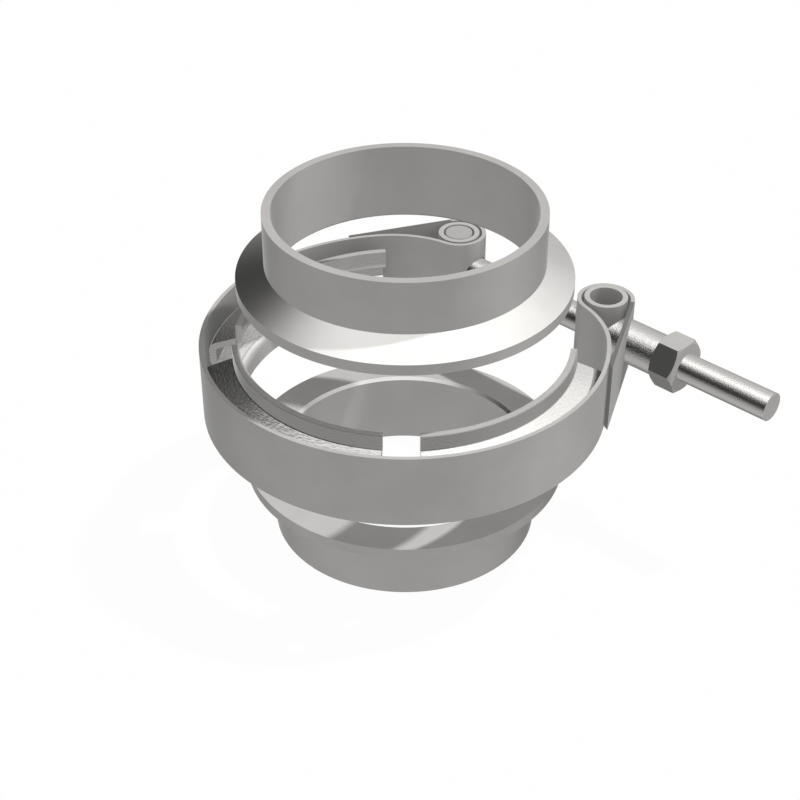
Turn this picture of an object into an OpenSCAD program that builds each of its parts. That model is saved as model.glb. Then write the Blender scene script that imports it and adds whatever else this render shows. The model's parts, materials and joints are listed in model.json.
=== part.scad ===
// A V-band clamp for exhaust pipes with its two flanges, standing apart on one axis.
// The axis of the pipes is Z, and the lower flange stands on z = 0.
// The clamp's bolt lies along X, with its nut towards +X, and the clamp opens towards +Y.

/* [Pipe stubs and flanges] */
// Outer diameter of the pipe stubs
pipe_od = 76.2; // [70:0.1:84]
// Wall of the pipe stubs
pipe_wall = 2.4; // [1.2:0.1:4]
// Height of each flange, from the stub's end to the mating face
flange_h = 22.2; // [16:0.1:30]
// How far the rim reaches beyond the stub
rim_reach = 7.8; // [6:0.1:9.5]
// Thickness of the rim at its edge
rim_t = 3.1; // [2:0.1:3.8]
// Height of the cone between the rim and the stub
cone_h = 4.05; // [2:0.05:7]
// Chamfer round the bore at the mating face
mouth_chamfer = 0.85; // [0.2:0.05:1.1]
// Distance of each mating face from the middle of the clamp, as the parts stand apart
apart = 28.35; // [14:0.05:60]

/* [V-shaped segments] */
// Clearance between the rims and the lips of the open clamp
lip_gap = 0.1; // [0.05:0.05:1]
// Sheet thickness of the segments
seg_t = 1.95; // [1.2:0.05:2.4]
// Depth of the channel, from the lips' inner face to the web's back
channel_depth = 9.82; // [8.6:0.02:12]
// Height of the lips
lip_h = 4.32; // [2.5:0.02:5]
// Slope of the channel's sides
side_slope = 19.3; // [12:0.1:24]
// Inner radius of the bends
bend_r = 0.5; // [0.2:0.1:1]
// Length of each segment round the ring, in degrees
seg_angle = 76.9; // [40:0.1:80]
// Angle between neighbouring segments
seg_pitch = 88.8; // [82:0.1:89]
// Turn of the middle segment from the point opposite the clamp's opening
seg_turn = -2.6; // [-4:0.1:1]

/* [Strap] */
// Width of the strap
band_w = 21.2; // [20:0.1:26]
// Thickness of the strap
band_t = 1.18; // [0.8:0.02:1.6]
// Gap at the welds between the segments' backs and the strap
weld_gap = 0.05; // [0.05:0.01:0.2]
// Radius of the bend where the strap leaves the ring for a loop
neck_r = 30; // [24:0.5:34]
// How far the bolt's line lies inside the ring of the strap
bolt_in = 2.8; // [0:0.1:4]
// Distance of the nut's loop from the middle of the opening
nut_reach = 29; // [25:0.1:33]
// Distance of the head's loop from the middle of the opening
head_reach = 27.3; // [25:0.1:33]
// Clearance between a loop and its trunnion
loop_clear = 0.86; // [0.4:0.02:1.2]
// How far the folded-back leg stops short of where it would touch the ring
leg_short = 0.8; // [0.4:0.1:1.6]
// Gap between the leg's end and the ring beside the weld
leg_gap = 0.03; // [0.02:0.01:0.1]
// How much shorter the leg's inner face is than its outer one, which makes its end a slope
leg_bevel = 1.5; // [0:0.1:2]
// Length of the weld along the leg
weld_l = 3; // [1:0.1:5]
// Height of the weld
weld_h = 12; // [4:0.5:18]
// Depth of the weld into the leg and into the ring
weld_depth = 0.4; // [0.3:0.05:0.6]

/* [Trunnions, bolt, sleeve and nut] */
// Outer diameter of the trunnion tubes
trunnion_od = 12.5; // [12.5:0.1:14]
// Wall of the trunnion tubes
trunnion_wall = 1.5; // [1:0.1:1.8]
// How far the nut's trunnion stands out of its loop at each end
trunnion_proud = 0.68; // [0:0.02:2]
// Clearance of the cross pin in the head's trunnion
pin_clear = 0.7; // [0.1:0.05:0.9]
// Diameter of the bolt's shank
bolt_d = 8.3; // [6:0.1:8.6]
// Length of the shank beyond the nut
bolt_tail = 28.3; // [4:0.1:60]
// Clearance round the shank in the sleeve and the nut's trunnion
shank_clear = 0.25; // [0.1:0.05:0.6]
// Clearance of the strap and the head's trunnion round the shank
slot_clear = 0.25; // [0.2:0.05:1]
// How much longer than high the shank's slots in the loops are
slot_extra = 0.5; // [0.1:0.1:4]
// Outer diameter of the sleeve
sleeve_od = 12.4; // [11.5:0.1:12.4]
// Distance from the trunnion's axis to the nut
sleeve_reach = 21.35; // [19:0.05:40]
// Distance of the sleeve's horns from the trunnion's axis
horn_back = 1.2; // [0.9:0.1:3]
// Clearance of the strap's leg round the sleeve
sleeve_clear = 0.35; // [0.2:0.05:0.8]
// Width of the nut across its flats
nut_af = 14.3; // [12.7:0.1:17]
// Thickness of the nut
nut_t = 7.55; // [5:0.05:12]
// Slope of the chamfers on the nut's corners
nut_slope = 30; // [15:1:40]
// Clearance of the nut on the shank
nut_clear = 0.05; // [0.02:0.01:0.1]

/* [Hidden] */
$fn = 96;

// A cut starts or ends this far outside the solid that it is made in
past = 1;
// Largest turn in degrees between neighbouring points of the ring, the loops and the sheet's bends
ring_step = 2.5;
loop_step = 7.5;
bend_step = 9;
stub_r = pipe_od / 2;
bore_r = stub_r - pipe_wall;
rim_r = stub_r + rim_reach;
clamp_z = flange_h + apart;
top_z = clamp_z + apart + flange_h;

// Radii of the ring, from the lips outwards
lip_r = rim_r + lip_gap;
lip_back_r = lip_r + seg_t;
web_back_r = lip_r + channel_depth;
ring_in = web_back_r + weld_gap;
ring_out = ring_in + band_t;
ring_mid = ring_in + band_t / 2;

// The loops carry the trunnions on the bolt's line
bolt_y = ring_mid - bolt_in;
loop_in = trunnion_od / 2 + loop_clear;
loop_mid = loop_in + band_t / 2;
tube_in = trunnion_od / 2 - trunnion_wall;
pin_r = tube_in - pin_clear;
shank_hole_r = bolt_d / 2 + shank_clear;
slot_r = bolt_d / 2 + slot_clear;
nut_x = nut_reach + sleeve_reach;
bolt_end = nut_x + nut_t + bolt_tail;

// Distance and direction of a loop's middle from the ring's axis
function loop_dist(reach) = norm([reach, bolt_y]);
function loop_azimuth(reach) = atan2(bolt_y, reach);

// The neck's circle touches the ring's circle from inside and the loop's circle from outside,
// so the law of cosines gives its direction from the sides of the triangle of the three middles
function neck_azimuth(reach) =
    let (to_neck = ring_mid - neck_r)
    let (to_loop = loop_dist(reach))
    let (across = neck_r + loop_mid)
    loop_azimuth(reach)
        - acos((to_neck ^ 2 + to_loop ^ 2 - across ^ 2) / (2 * to_neck * to_loop));
function neck_middle(reach) =
    let (a = neck_azimuth(reach))
    (ring_mid - neck_r) * [cos(a), sin(a)];

// Direction from the neck's middle to the loop's middle, where the two bends meet
function bend_azimuth(reach) =
    let (way = [reach, bolt_y] - neck_middle(reach))
    atan2(way.y, way.x);

// The leg's inner face is the outer tangent of the loop's inside and the ring's outside
leg_r = ring_out + leg_gap;
function leg_azimuth(reach) =
    loop_azimuth(reach) - acos((leg_r - loop_in) / loop_dist(reach));
function leg_length(reach) =
    sqrt(loop_dist(reach) ^ 2 - (leg_r - loop_in) ^ 2) - leg_short;

// The turned ring of a flange, from the stub's end at z = 0 to the mating face
module flange() {
    rotate_extrude()
        polygon([
            [bore_r, 0],
            [stub_r, 0],
            [stub_r, flange_h - rim_t - cone_h],
            [rim_r, flange_h - rim_t],
            [rim_r, flange_h],
            [bore_r + mouth_chamfer, flange_h],
            [bore_r, flange_h - mouth_chamfer]
        ]);
}

// Points on an arc from one direction to another, both ends included
function arc(middle, r, from, to, step) =
    let (steps = ceil(abs(to - from) / step))
    [for (i = [0:steps]) let (a = from + (to - from) * i / steps) middle + r * [cos(a), sin(a)]];

// A list without its first entry, and a list from back to front
function rest(list) = [for (i = [1:1:len(list) - 1]) list[i]];
function reversed(list) = [for (i = [len(list) - 1:-1:0]) list[i]];
function mirrored(list) = [for (p = list) [-p.x, p.y]];

// The strap's line at one end: from the ring through the neck, round the loop and down the leg.
// aside is the distance from the middle of the sheet towards the ring's outside,
// which becomes the inside of the loop.
function end_line(reach, aside) =
    let (leg = leg_azimuth(reach))
    let (leg_start = [reach, bolt_y] + (loop_mid - aside) * [cos(leg), sin(leg)])
    let (length = leg_length(reach) - (aside > 0 ? leg_bevel : 0))
    concat(
        arc(neck_middle(reach), neck_r + aside, neck_azimuth(reach), bend_azimuth(reach), ring_step),
        rest(arc(
            [reach, bolt_y], loop_mid - aside, bend_azimuth(reach) + 180, leg, loop_step
        )),
        [leg_start + length * [sin(leg), -cos(leg)]]
    );

// The strap's whole line from the head's leg round the ring to the nut's leg
function strap_line(aside) =
    let (head = mirrored(reversed(end_line(head_reach, aside))))
    let (nut = end_line(nut_reach, aside))
    let (head_neck = 180 - neck_azimuth(head_reach))
    concat(
        head,
        rest(arc([0, 0], ring_mid + aside, head_neck, 360 + neck_azimuth(nut_reach), ring_step)),
        rest(nut)
    );

// The weld that holds the end of a leg to the ring, on the +X side
module leg_weld(reach) {
    translate([reach, bolt_y, 0])
        rotate([0, 0, leg_azimuth(reach)])
            translate([loop_in - weld_depth, weld_depth + leg_bevel - leg_length(reach), -weld_h / 2])
                cube([2 * weld_depth, weld_l, weld_h]);
}

// A round-ended slot along X for the shank, longer in Y than it is high
module shank_slot(length) {
    for (side = [-1, 1])
        translate([0, side * slot_extra / 2, 0])
            rotate([0, 90, 0])
                cylinder(r = slot_r, h = length);
    translate([0, -slot_extra / 2, -slot_r])
        cube([length, slot_extra, 2 * slot_r]);
}

// The whole strap with its slots, in the clamp's own height
module strap() {
    difference() {
        union() {
            linear_extrude(height = band_w, center = true)
                polygon(concat(strap_line(band_t / 2), reversed(strap_line(-band_t / 2))));
            leg_weld(nut_reach);
            mirror([1, 0, 0])
                leg_weld(head_reach);
        }
        translate([-head_reach, bolt_y, 0])
            shank_slot(head_reach + nut_reach);
        translate([nut_reach, bolt_y, 0])
            rotate([0, 90, 0])
                cylinder(r = sleeve_od / 2 + sleeve_clear, h = sleeve_reach);
    }
}

// The upper half of a segment's bent sheet, as radius and height: web, side and lip
function sheet_half() =
    let (back_r = bend_r + seg_t)
    let (corner = [lip_back_r, band_w / 2 - lip_h])
    let (web_x = web_back_r - back_r)
    let (web_z = corner.y - (web_x - corner.x) * tan(side_slope) - back_r / cos(side_slope))
    let (lip_x = corner.x + bend_r)
    let (lip_z = corner.y - bend_r * tan(side_slope) + bend_r / cos(side_slope))
    let (turn = 90 - side_slope)
    concat(
        arc([web_x, web_z], back_r, 0, turn, bend_step),
        arc([lip_x, lip_z], bend_r, 180 + turn, 180, bend_step),
        [[lip_back_r, band_w / 2], [lip_r, band_w / 2]],
        arc([lip_x, lip_z], back_r, 180, 180 + turn, bend_step),
        arc([web_x, web_z], bend_r, turn, 0, bend_step)
    );

// One segment, centred at an azimuth
module segment(azimuth) {
    upper = sheet_half();
    lower = [for (p = reversed(upper)) [p.x, -p.y]];
    translate([0, 0, clamp_z])
        rotate([0, 0, azimuth - seg_angle / 2])
            rotate_extrude(angle = seg_angle)
                polygon(concat(upper, lower));
}

module lower_flange() {
    color([0.60, 0.60, 0.59])
        flange();
}

module upper_flange() {
    color([0.60, 0.60, 0.59])
        translate([0, 0, top_z])
            mirror([0, 0, 1])
                flange();
}

module clamp_band() {
    color([0.56, 0.56, 0.55])
        translate([0, 0, clamp_z])
            strap();
}

module v_segment_nut_side() {
    color([0.70, 0.70, 0.69])
        segment(seg_turn - 90 + seg_pitch);
}

module v_segment_middle() {
    color([0.70, 0.70, 0.69])
        segment(seg_turn - 90);
}

module v_segment_head_side() {
    color([0.70, 0.70, 0.69])
        segment(seg_turn - 90 - seg_pitch);
}

// A trunnion's tube about its own middle
module trunnion(length) {
    difference() {
        cylinder(r = trunnion_od / 2, h = length, center = true);
        cylinder(r = tube_in, h = length + 2 * past, center = true);
    }
}

// The cross pin is dropped in from below, so the slot for the shank is open to the lower end
module head_trunnion() {
    color([0.62, 0.62, 0.61])
        translate([-head_reach, bolt_y, clamp_z])
            difference() {
                trunnion(band_w);
                rotate([0, 90, 0])
                    cylinder(r = slot_r, h = trunnion_od);
                translate([0, -slot_r, -band_w])
                    cube([trunnion_od, 2 * slot_r, band_w]);
            }
}

module nut_trunnion() {
    color([0.62, 0.62, 0.61])
        translate([nut_reach, bolt_y, clamp_z])
            difference() {
                trunnion(band_w + 2 * trunnion_proud);
                rotate([0, 90, 0])
                    cylinder(r = shank_hole_r, h = trunnion_od + 2 * past, center = true);
            }
}

module t_bolt() {
    color([0.72, 0.72, 0.71])
        translate([-head_reach, bolt_y, clamp_z]) {
            cylinder(r = pin_r, h = band_w, center = true);
            rotate([0, 90, 0])
                cylinder(r = bolt_d / 2, h = bolt_end + head_reach);
        }
}

// The sleeve's end is cut to a saddle that seats on the trunnion's barrel
module spacer_sleeve() {
    color([0.72, 0.72, 0.71])
        translate([nut_reach, bolt_y, clamp_z])
            difference() {
                translate([horn_back, 0, 0])
                    rotate([0, 90, 0])
                        cylinder(r = sleeve_od / 2, h = sleeve_reach - horn_back);
                rotate([0, 90, 0])
                    cylinder(r = shank_hole_r, h = sleeve_reach + past);
                cylinder(r = trunnion_od / 2, h = trunnion_od, center = true);
            }
}

// A hexagon with flats above and below, its corners cut by a cone at each end
module hex_nut() {
    corner_r = nut_af / 2 / cos(30);
    cut_r = corner_r + past;
    cut_h = (cut_r - nut_af / 2) * tan(nut_slope);
    color([0.66, 0.66, 0.65])
        translate([nut_x, bolt_y, clamp_z])
            rotate([0, 90, 0])
                difference() {
                    intersection() {
                        rotate([0, 0, 30])
                            cylinder(r = corner_r, h = nut_t, $fn = 6);
                        rotate_extrude()
                            polygon([
                                [0, 0],
                                [nut_af / 2, 0],
                                [cut_r, cut_h],
                                [cut_r, nut_t - cut_h],
                                [nut_af / 2, nut_t],
                                [0, nut_t]
                            ]);
                    }
                    translate([0, 0, -past])
                        cylinder(r = bolt_d / 2 + nut_clear, h = nut_t + 2 * past);
                }
}

lower_flange();
upper_flange();
clamp_band();
v_segment_nut_side();
v_segment_middle();
v_segment_head_side();
head_trunnion();
t_bolt();
nut_trunnion();
spacer_sleeve();
hex_nut();
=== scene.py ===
# %% [markdown]
# # A V-band clamp and its two flanges
#
# An exhaust pipe joint, pulled apart: two turned rings stand above and below a clamp.
# The clamp is a steel strap with three V-shaped segments inside it, and a bolt draws its two ends together.
# The CAD model comes first, as a fixed frame. This lesson then gives each piece its finish,
# sets the camera where the photograph was taken from, and builds a small studio round the pieces.

import json
import math

import bmesh
import bpy
import numpy as np
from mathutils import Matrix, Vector


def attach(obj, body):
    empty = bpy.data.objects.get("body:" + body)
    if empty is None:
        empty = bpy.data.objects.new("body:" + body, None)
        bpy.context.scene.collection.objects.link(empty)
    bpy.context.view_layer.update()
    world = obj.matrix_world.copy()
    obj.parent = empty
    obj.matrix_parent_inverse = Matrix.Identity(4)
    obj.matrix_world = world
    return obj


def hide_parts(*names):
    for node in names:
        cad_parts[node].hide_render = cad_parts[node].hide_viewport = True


MM = 0.001

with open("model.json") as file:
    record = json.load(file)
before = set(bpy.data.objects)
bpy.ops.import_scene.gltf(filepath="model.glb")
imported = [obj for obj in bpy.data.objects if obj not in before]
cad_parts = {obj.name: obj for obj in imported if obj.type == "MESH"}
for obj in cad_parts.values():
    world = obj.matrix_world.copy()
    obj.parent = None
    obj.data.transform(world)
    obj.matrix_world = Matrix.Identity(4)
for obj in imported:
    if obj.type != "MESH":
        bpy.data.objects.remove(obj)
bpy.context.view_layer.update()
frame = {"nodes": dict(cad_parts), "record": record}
NODES = frame["nodes"]
print("pieces in the frame:", ", ".join(sorted(NODES)))

# %% [markdown]
# ## The strap, rolled smooth
#
# The strap is one steel strip, bent round the ring, round both loops and straight down its two legs.
# The CAD model draws those bends as short flat facets, and their edges would show as upright bands.
# The strip could be drawn again as a new surface, but the CAD solid already has every bend and hole.
# So a copy of it stands for it here. Its doubled points are merged, and every edge where the
# two faces meet at less than 20 degrees is shaded as one curve, so only the cut edges stay sharp.

# %% A smooth copy of the strap
MERGE_REACH = 0.001 * MM
SHARP_FROM = 20.0


def show(name, data):
    """A new object in the scene, at the origin, that shows the data."""
    made = bpy.data.objects.new(name, data)
    bpy.context.scene.collection.objects.link(made)
    return made


def smooth_copy(node, name, limit):
    """A merged copy of a CAD node. Its edges that turn by less than limit degrees are shaded as one curve."""
    mesh = NODES[node].data.copy()
    mesh.name = name
    work = bmesh.new()
    work.from_mesh(mesh)
    bmesh.ops.remove_doubles(work, verts=work.verts, dist=MERGE_REACH)
    for face in work.faces:
        face.smooth = True
    for edge in work.edges:
        edge.smooth = edge.is_manifold and edge.calc_face_angle() < math.radians(limit)
    work.to_mesh(mesh)
    work.free()
    if "custom_normal" in mesh.attributes:
        mesh.attributes.remove(mesh.attributes["custom_normal"])
    return show(name, mesh)


strap = smooth_copy("clamp_band", "strap", SHARP_FROM)
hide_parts("clamp_band")
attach(strap, "clamp")
print("strap:", len(strap.data.vertices), "points,", len(strap.data.polygons), "faces")

# %% [markdown]
# ## Shader maths as sentences
#
# A finish is a sum of patterns, so it reads best as an expression, such as `roughness + pattern * spread`.
# The small class below wraps one output of a shader node. Adding or multiplying two of them
# puts a Math node between them, and one method adds any other kind of node.

# %% A class for shader expressions
class Wire:
    """One output of a shader node. Sums, differences, products and powers of wires add Math nodes."""

    def __init__(self, shader, socket):
        self.shader = shader
        self.socket = socket

    def maths(self, operation, *others):
        """A Math node on this wire and the others."""
        values = dict(enumerate((self, *others)))
        return self.shader.node("Math", {"operation": operation}, values)

    def __add__(self, other):
        return self.maths("ADD", other)

    __radd__ = __add__

    def __mul__(self, other):
        return self.maths("MULTIPLY", other)

    __rmul__ = __mul__

    def __sub__(self, other):
        return self.maths("SUBTRACT", other)

    def __rsub__(self, other):
        return self.shader.node("Math", {"operation": "SUBTRACT"}, {0: other, 1: self})

    def __pow__(self, other):
        return self.maths("POWER", other)


# %% A class for node trees
FIRST_COLOUR, SECOND_COLOUR, MIXED_COLOUR = 6, 7, 2


class Shader:
    """The node tree of one material or world, emptied and ready for new nodes."""

    def __init__(self, tree):
        self.tree = tree
        self.tree.nodes.clear()

    def node(self, kind, settings=(), inputs=(), output=0):
        """Adds a node of a kind. Its settings come first, then the values or wires of its sockets."""
        new = self.tree.nodes.new("ShaderNode" + kind)
        for name, value in dict(settings).items():
            setattr(new, name, value)
        for name, value in dict(inputs).items():
            if isinstance(value, Wire):
                self.tree.links.new(value.socket, new.inputs[name])
            else:
                new.inputs[name].default_value = value
        return Wire(self, new.outputs[output])

    def output(self, kind, surface):
        """Joins the finished shader to the material's or the world's output."""
        end = self.tree.nodes.new("ShaderNodeOutput" + kind)
        self.tree.links.new(surface.socket, end.inputs["Surface"])

    def ramp(self, value, low, high):
        """0 below low, 1 above high, and a soft step between them."""
        settings = {"interpolation_type": "SMOOTHSTEP"}
        return self.node("MapRange", settings, {"Value": value, "From Min": low, "From Max": high})

    def span(self, value, start, full, fade, end):
        """1 between full and fade, 0 outside start and end, and a soft step at both sides."""
        return self.ramp(value, start, full) * (1 - self.ramp(value, fade, end))

    def blend(self, factor, first, second):
        """A Mix node on two colours."""
        colours = {"Factor": factor, FIRST_COLOUR: first, SECOND_COLOUR: second}
        return self.node("Mix", {"data_type": "RGBA"}, colours, output=MIXED_COLOUR)


# %% [markdown]
# ## Steel, made in several ways
#
# Every piece is plain steel, and what tells them apart is how they were made.
# An image of real steel would have to be laid out over every face, and that layout would show its seams.
# So each finish is a pattern of noise on Object coordinates instead, measured in millimetres,
# which stays on the steel in every pose. One function makes the material, and a pattern goes into it.

# %% Patterns in millimetres
METAL = 0.7
EDGE_GLEAM = 0.2
EDGE_TINT = (0.45, 0.45, 0.45, 1.0)
SPREAD, STAIN = 0.04, 0.04
CLOUD_SIZE, CLOUD_DETAIL = (14.0, 14.0, 14.0), 3.0
PATTERN_SHARE, STAIN_RANGE = 0.3, 0.25


def place_in_mm(shader):
    """The object's own coordinates in millimetres, as one vector wire and as x, y and z."""
    place = shader.node("TexCoord", output="Object")
    place = shader.node("VectorMath", {"operation": "SCALE"}, {0: place, "Scale": 1 / MM})
    apart = [shader.node("SeparateXYZ", inputs={0: place}, output=axis) for axis in "XYZ"]
    return place, apart


def distance(x, y):
    """The distance of a point from the line where x and y are 0."""
    return (x ** 2.0 + y ** 2.0) ** 0.5


def grain(shader, vector, size, detail=2.0, roughness=0.5):
    """Noise around zero, with lumps of about the given size in millimetres along each axis."""
    stretched = shader.node("VectorMath", {"operation": "DIVIDE"}, {0: vector, 1: size})
    inputs = {"Vector": stretched, "Scale": 1.0, "Detail": detail, "Roughness": roughness}
    return shader.node("TexNoise", inputs=inputs) - 0.5


def steel(name, tint, roughness, height_of, height, metal=METAL, spread=SPREAD, shade_marks=()):
    """A steel material. height_of gives the surface's height pattern, and height is its depth in millimetres.
    Each painted shade is a mask and the share of the colour that is left where the mask is 1."""
    material = bpy.data.materials.new(name)
    material.use_nodes = True
    shader = Shader(material.node_tree)
    place, (x, y, z) = place_in_mm(shader)
    pattern = height_of(shader, place, x, y, z)
    clouds = grain(shader, place, CLOUD_SIZE, CLOUD_DETAIL)
    rough = roughness + pattern * spread + clouds * spread
    darker = tuple(c * (1 - STAIN) for c in tint) + (1.0,)
    lighter = tuple(c * (1 + STAIN) for c in tint) + (1.0,)
    cloudy = shader.ramp(clouds + pattern * PATTERN_SHARE, -STAIN_RANGE, STAIN_RANGE)
    colour = shader.blend(cloudy, darker, lighter)
    # Shade painted into the colour: each mask darkens it down to its share.
    for mask_of, share in shade_marks:
        left = 1 - mask_of(shader, x, y, z) * (1 - share)
        colour = shader.node("VectorMath", {"operation": "SCALE"}, {0: colour, "Scale": left})
    bump = shader.node("Bump", inputs={"Height": pattern, "Strength": 1.0, "Distance": height * MM})
    surface = shader.node("BsdfPrincipled", inputs={
        "Base Color": colour, "Metallic": metal, "Roughness": rough, "Normal": bump,
        "Specular IOR Level": EDGE_GLEAM, "Specular Tint": EDGE_TINT,
    })
    shader.output("Material", surface)
    print(name + ":", len(shader.tree.nodes), "nodes")
    return material


# %% [markdown]
# ## The surfaces
#
# The flanges were turned on a lathe, which leaves fine rings round the axis. The strap was rolled,
# so its streaks run along the strip. The segments were pressed, and their skin has short creases
# that run round the ring. The bolt and the sleeve have the uneven skin of drawn bar.
# The trunnions and the nut are nearly even. Each is a noise whose lumps are stretched to fit.

# %% Height patterns
CHANNEL_RADIUS = 51.0
BOLT_Y, CLAMP_Z = 53.66, 50.55
SLEEVE_BORE, SLEEVE_ROUGHER = (4.6, 5.2), 0.6


def turned(shader, place, x, y, z):
    """Rings round the axis: noise that depends only on the distance from the axis and on the height."""
    profile = shader.node("CombineXYZ", inputs={"X": distance(x, y), "Y": z, "Z": 0.0})
    return grain(shader, profile, (0.35, 0.35, 1.0), detail=3.0, roughness=0.6)


def rolled(shader, place, x, y, z):
    """Streaks along the strip: noise that changes quickly with height and slowly along the strip."""
    return grain(shader, place, (9.0, 9.0, 0.3), detail=3.0, roughness=0.6)


def pressed(shader, place, x, y, z):
    """Creases round the ring: noise on the arc from the X axis, the distance from the axis and the height."""
    arc = y.maths("ARCTAN2", x) * CHANNEL_RADIUS
    unrolled = shader.node("CombineXYZ", inputs={"X": arc, "Y": distance(x, y), "Z": z})
    return grain(shader, unrolled, (1.3, 0.5, 0.5), detail=1.0, roughness=0.4)


def bar(shader, place, x, y, z):
    """The uneven skin of drawn bar. It is rougher on the sleeve, which is further from the bolt's line."""
    skin = grain(shader, place, (0.4, 0.3, 0.3), detail=1.0, roughness=0.4)
    on_sleeve = shader.ramp(distance(y - BOLT_Y, z - CLAMP_Z), *SLEEVE_BORE)
    return skin * (1 + SLEEVE_ROUGHER * on_sleeve)


def plain(shader, place, x, y, z):
    """A nearly even skin with a very fine grain."""
    return grain(shader, place, (0.5, 0.5, 0.5))


# %% [markdown]
# ## Painted shade
#
# Shade is painted into the colour of narrow places, which stay darker than the open steel: the gaps in the
# loops, the tubes' bores, the backs of the segments' lips, the wedge between the segments' ends and the
# strap, and the cut edges of the two legs.
# An Ambient Occlusion node finds the gaps by itself and paints their shade. The others are found by their
# measures, as masks on the object's own millimetres, because they are open and the node would miss them.

# %% Painted shade in the gaps and on the cut edges of the legs
# Each loop's distance from the middle of the opening, and the side it is on
LOOPS = {"nut": (29.0, 1.0), "head": (27.3, -1.0)}
HALF_WIDTH, HALF_SHEET = 10.6, 0.59
CUT_EDGE = (HALF_WIDTH - 0.08, HALF_WIDTH - 0.03)
LEG_REACH, LEG_LINE = 57.08, 7.7
LEG_HALF = (0.65, 0.75)
LEG_START = (-0.6, 0.2)
AO_SAMPLES = 8


def gap_shade(reach):
    """A mask of painted shade, 1 deep in a gap of the piece or between it and its neighbours, and 0 on open
    sides.
    """
    def mask(shader, x, y, z):
        inputs = {"Distance": reach * MM}
        return 1 - shader.node("AmbientOcclusion", {"samples": AO_SAMPLES}, inputs, output="AO")

    return mask


def leg_edge_shade(shader, x, y, z):
    """A mask of painted shade, 1 on the cut edges of the two straight legs: within half the sheet of the
    leg's line, which touches the ring and passes its loop's middle at LEG_LINE, and at the strap's full
    width."""
    edge = shader.ramp((z - CLAMP_Z).maths("ABSOLUTE"), *CUT_EDGE)
    both = 0.0
    for reach, side in LOOPS.values():
        far = math.hypot(reach, BOLT_Y)
        turn = math.atan2(BOLT_Y, reach) - math.acos((LEG_REACH - LEG_LINE + HALF_SHEET) / far)
        out = (side * math.cos(turn), math.sin(turn))
        down = (side * math.sin(turn), -math.cos(turn))
        dx, dy = x - side * reach, y - BOLT_Y
        across = (dx * out[0] + dy * out[1] - LEG_LINE).maths("ABSOLUTE")
        along_leg = dx * down[0] + dy * down[1]
        both = (1 - shader.ramp(across, *LEG_HALF)) * shader.ramp(along_leg, *LEG_START) + both
    return edge * both


# %% Painted shade on the segments' bends and lips
SIDE_HEIGHT, SIDE_SLOPE, LIP_BACK = 4.21, 0.35, 47.95
OUTSIDE, BEND, NEAR_OPENING = (0.6, 1.2), (52.9, 54.0), (2.0, 12.0)
LIP_BACKS = (47.4, 47.8, 48.0, 48.08)


def web_bend_shade(shader, x, y, z):
    """A mask of painted shade, 1 on the channel's outer bends near the clamp's opening, in the wedge between
    segment and strap.
    The channel's inner face lies SIDE_HEIGHT from the middle at LIP_BACK, and slopes inwards from there."""
    radius = distance(x, y)
    inner = SIDE_HEIGHT - SIDE_SLOPE * (radius - LIP_BACK)
    outside = (z - CLAMP_Z).maths("ABSOLUTE") - inner
    return shader.ramp(outside, *OUTSIDE) * shader.ramp(radius, *BEND) * shader.ramp(y, *NEAR_OPENING)


def lip_back_shade(shader, x, y, z):
    """A mask of painted shade, 1 on the backs of the segments' lips, down to the fold where a lip stands up
    from the channel.
    """
    return shader.span(distance(x, y), *LIP_BACKS)


# %% [markdown]
# ## The finishes on their pieces
#
# One grey serves every piece, because in the photograph they differ in gloss and skin and hardly in colour.
# The bolt and the sleeve are a little brighter and more like a mirror. The depths are in millimetres.

# %% Finishes
GREY = (0.321, 0.316, 0.308)
BRIGHTER = tuple(1.12 * c for c in GREY)
# The masks below paint shade into the steel's colour: in gaps, on the legs' cut edges, on the lips' backs and
# in the web bends.
SHADED_GAPS = (gap_shade(12.0), 0.35)
FINISHES = {
    "flange_steel": steel("flange_steel", GREY, 0.25, turned, 0.0004, spread=0.02),
    "strap_steel": steel("strap_steel", GREY, 0.3, rolled, 0.0005, shade_marks=[SHADED_GAPS, (leg_edge_shade, 0.35)]),
    "segment_steel": steel(
        "segment_steel", GREY, 0.16, pressed, 0.08, shade_marks=[(lip_back_shade, 0.76), (web_bend_shade, 0.18)]
    ),
    "trunnion_steel": steel("trunnion_steel", GREY, 0.34, plain, 0.001, shade_marks=[SHADED_GAPS]),
    "bolt_steel": steel("bolt_steel", BRIGHTER, 0.17, bar, 0.06, metal=0.8),
    "nut_steel": steel("nut_steel", GREY, 0.2, plain, 0.001),
}
for row in frame["record"]["subparts"]:
    piece = NODES[row["node"]]
    for slot in range(len(piece.data.materials)):
        piece.data.materials[slot] = FINISHES[row["material_slot"]]
strap.data.materials.clear()
strap.data.materials.append(FINISHES["strap_steel"])
print("finishes:", ", ".join(sorted(FINISHES)))

# %% [markdown]
# ## The camera
#
# The camera stands where the photograph's perspective puts it: level from side to side,
# about 36 degrees above the horizon, and near enough that the lower ring looks smaller than the upper one.

# %% Camera
CAMERA_PLACE = (0.2634, -0.2837, 0.31265)
CAMERA_AIM = (-0.5578, 0.5965, -0.5772)
LENS, FILM = 74.74, 36.0
NEAREST, FARTHEST = 0.01, 50.0

eye = bpy.data.cameras.new("camera")
eye.sensor_width = FILM
eye.lens = LENS
eye.clip_start = NEAREST
eye.clip_end = FARTHEST
camera = show("camera", eye)
camera.location = CAMERA_PLACE
camera.rotation_mode = "QUATERNION"
camera.rotation_quaternion = Vector(CAMERA_AIM).to_track_quat("-Z", "Y")
bpy.context.scene.camera = camera
print("camera:", round(math.dist(CAMERA_PLACE, (0.0, 0.0, 0.0)), 3), "m from the origin")

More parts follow.
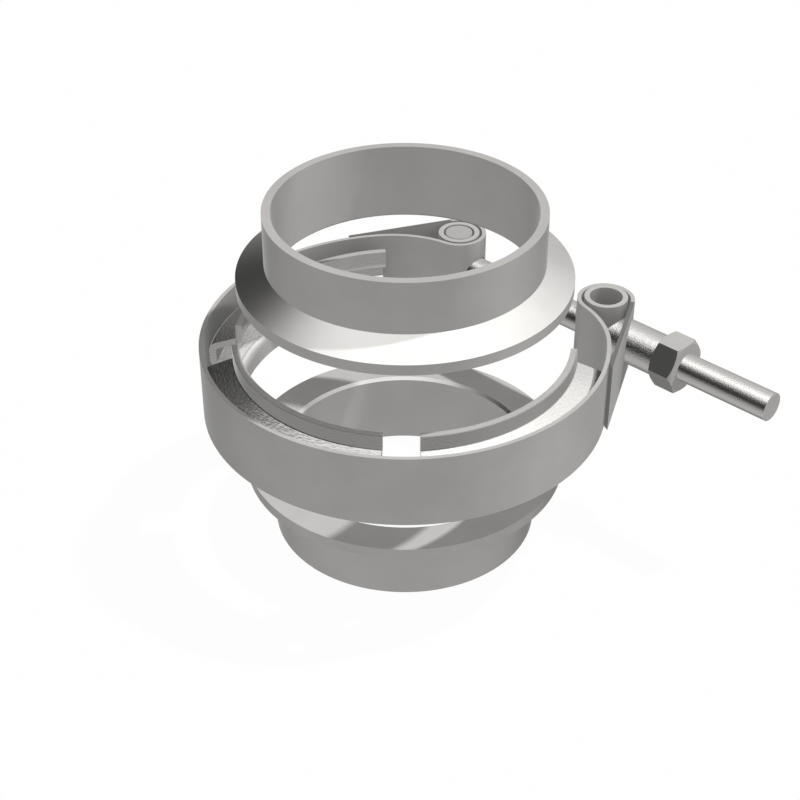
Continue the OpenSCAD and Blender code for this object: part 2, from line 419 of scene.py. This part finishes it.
# %% [markdown]
# ## The studio
#
# Bare steel shows its surroundings more than itself, so the surroundings are most of the light.
# Area lamps could stand in for them, but then every lamp's edge would show in the steel.
# The world is drawn as one soft picture of a studio instead, in terms of two angles in degrees:
# the azimuth, which is 0 straight ahead of the camera's place and grows to the right, and the height.

# %% The two angles
def unit(vector):
    """The vector at length 1."""
    return tuple(np.array(vector, float) / np.linalg.norm(vector))


AHEAD = unit((CAMERA_AIM[0], CAMERA_AIM[1], 0.0))
RIGHT = (AHEAD[1], -AHEAD[0], 0.0)
UP = (0.0, 0.0, 1.0)
TO_DEGREES = 180 / math.pi

world = bpy.data.worlds.new("studio")
bpy.context.scene.world = world
world.use_nodes = True
sky = Shader(world.node_tree)
way = sky.node("TexCoord", output="Generated")


def along(axis):
    """How far the direction of view points along an axis, from -1 to 1."""
    return sky.node("VectorMath", {"operation": "DOT_PRODUCT"}, {0: way, 1: axis}, output="Value")


azimuth = along(RIGHT).maths("ARCTAN2", along(AHEAD)) * TO_DEGREES
height = along(UP).maths("ARCSINE") * TO_DEGREES
print("ahead:", [round(c, 3) for c in AHEAD], "right:", [round(c, 3) for c in RIGHT])

# %% [markdown]
# ### The table, the wall and the lights
#
# The table is brightest straight below and loses light towards its edge, in two steps.
# A part of it in front is darker, and that part leans to the left with depth.
# The wall round the horizon has a dark corner at the left, which gives the rings their dark side.
# A soft light stands at the right, and a wide bright one hangs overhead. It ends higher up in front.

# %% The table
TABLE = 1.7
TABLE_STEPS = ((0.35, -75.0, -45.0), (0.3, -45.0, -20.0))
LEAN, LEAN_FROM = 1.5, 36.0
DIMMER, DIM_SPAN = 0.48, (-35.0, 5.0, 10.0, 90.0)

table = TABLE
for drop, low, high in TABLE_STEPS:
    table = table - drop * sky.ramp(height, low, high)
leaning = azimuth - LEAN * (height + LEAN_FROM)
table = table * (1 - DIMMER * sky.span(leaning, *DIM_SPAN))

# %% The wall and the lights
HORIZON, CORNER, CORNER_SPAN = 0.66, 0.08, (-160.0, -125.0, -32.0, -15.0)
HIGH_WALL, HIGH_WALL_RAMP = 0.2, (28.0, 37.0)
TABLE_EDGE = (-28.0, 4.0)
SIDE_LIGHT, SIDE_SPAN, SIDE_RAMP = 1.3, (5.0, 45.0, 110.0, 150.0), (5.0, 40.0)
OVERHEAD, OVERHEAD_RAMP = 3.5, (32.0, 69.0)
FRONT_RISE, FRONT_SPAN = 13.0, (-60.0, -20.0, 15.0, 40.0)

corner = sky.span(azimuth, *CORNER_SPAN)
wall = HORIZON + (CORNER - HORIZON) * corner + HIGH_WALL * sky.ramp(height, *HIGH_WALL_RAMP)
side = SIDE_LIGHT * sky.span(azimuth, *SIDE_SPAN) * sky.ramp(height, *SIDE_RAMP)
lower = table + (wall - table) * sky.ramp(height, *TABLE_EDGE) + side
front = sky.span(azimuth, *FRONT_SPAN)
mirrored = lower + (OVERHEAD - lower) * sky.ramp(height - FRONT_RISE * front, *OVERHEAD_RAMP)

# %% [markdown]
# ### Who sees what
#
# The camera sees plain white, at a strength of 1. Mirrors see the studio above.
# What is left of the light, which falls on matt surfaces, is weak, because the key lamp gives most of that.

# %% World
AMBIENT = 0.2

glossy = sky.node("LightPath", output="Is Glossy Ray")
camera_ray = sky.node("LightPath", output="Is Camera Ray")
strength = AMBIENT + (1 - AMBIENT) * camera_ray + (mirrored - AMBIENT) * glossy
sky.output("World", sky.node("Background", inputs={"Color": (1.0, 1.0, 1.0, 1.0), "Strength": strength}))
print("world:", len(sky.tree.nodes), "nodes")

# %% [markdown]
# ## The key lamp
#
# The shadows in the photograph are crisp and all point one way, so one lamp like a small sun makes them.
# It stands far to the right and 60 degrees up.
# Mirrors don't see it, because the photograph has no glint of it.

# %% Key lamp
KEY_STRENGTH = 12.6
KEY_WIDTH = math.radians(2.0)
KEY_AZIMUTH, KEY_HEIGHT = math.radians(73.0), math.radians(60.0)

level = np.array(AHEAD) * math.cos(KEY_AZIMUTH) + np.array(RIGHT) * math.sin(KEY_AZIMUTH)
key_way = Vector(level * math.cos(KEY_HEIGHT) + np.array(UP) * math.sin(KEY_HEIGHT))
key = bpy.data.lights.new("key", "SUN")
key.energy = KEY_STRENGTH
key.angle = KEY_WIDTH
lamp = show("key", key)
lamp.rotation_mode = "QUATERNION"
lamp.rotation_quaternion = key_way.to_track_quat("Z", "Y")
lamp.location = key_way
lamp.visible_glossy = False
print("key lamp from:", [round(c, 3) for c in key_way])

# %% [markdown]
# ## The floor
#
# A pale disc, wide enough to run out of sight. A white sheet under this lamp would show a grey shadow,
# and the photograph shows none. So nearly all of its white is a glow of its own, and the small rest is real
# light on matt paint, which leaves the lower ring a faint shadow to stand on.

# %% The disc
FLOOR_RADIUS, FLOOR_Z = 4.0, -0.00005
RINGS, SECTORS = 40, 96


def disc(name, radius, z):
    """A flat disc as a grid. The point at ring i and sector j is (r cos a, r sin a):
    r grows as i squared, and a is j equal steps of the full turn."""
    reach = radius * (np.arange(1, RINGS + 1) / RINGS) ** 2
    angle = np.arange(SECTORS) * 2 * np.pi / SECTORS
    points = np.zeros((RINGS * SECTORS + 1, 3))
    points[:-1, 0] = np.outer(reach, np.cos(angle)).ravel()
    points[:-1, 1] = np.outer(reach, np.sin(angle)).ravel()
    points[:, 2] = z
    i, j = np.meshgrid(np.arange(RINGS - 1), np.arange(SECTORS), indexing="ij")
    k = (j + 1) % SECTORS
    faces = np.stack([i * SECTORS + j, (i + 1) * SECTORS + j, (i + 1) * SECTORS + k, i * SECTORS + k], -1)
    around = np.arange(SECTORS)
    fan = np.stack([np.full(SECTORS, RINGS * SECTORS), around, (around + 1) % SECTORS], -1)
    mesh = bpy.data.meshes.new(name)
    mesh.from_pydata(points.tolist(), [], faces.reshape(-1, 4).tolist() + fan.tolist())
    mesh.update()
    return show(name, mesh)


floor = disc("floor", FLOOR_RADIUS, FLOOR_Z)
print("floor:", len(floor.data.polygons), "faces")

# %% The floor's paint
PAINT, GLOW, GLOW_SHARE = 0.15, 1.01, 0.97

paint = bpy.data.materials.new("floor_white")
paint.use_nodes = True
white = Shader(paint.node_tree)
matt = white.node("BsdfDiffuse", inputs={"Color": (PAINT, PAINT, PAINT, 1.0)})
glow = white.node("Emission", inputs={"Color": (1.0, 1.0, 1.0, 1.0), "Strength": GLOW})
white.output("Material", white.node("MixShader", inputs={0: GLOW_SHARE, 1: matt, 2: glow}))
floor.data.materials.append(paint)

# %% [markdown]
# ## What mirrors what
#
# In the photograph each piece of steel mirrors the studio and none of its neighbours: the inside of a pipe
# is as even as its outside. So the pieces and the floor are left out of what glossy and diffuse rays see,
# and the world alone is mirrored. The key lamp's shadows stay, which tell how the pieces stand to each other.

# %% Rays
unmirrored = [*NODES.values(), strap, floor]
for shown in unmirrored:
    shown.visible_glossy = False
    shown.visible_diffuse = False
print("left out of reflections:", len(unmirrored), "objects")

# %% [markdown]
# ## Colours
#
# The Standard view shows a colour about as it is written.

# %% Colours as they are written
view = bpy.context.scene.view_settings
view.view_transform = "Standard"
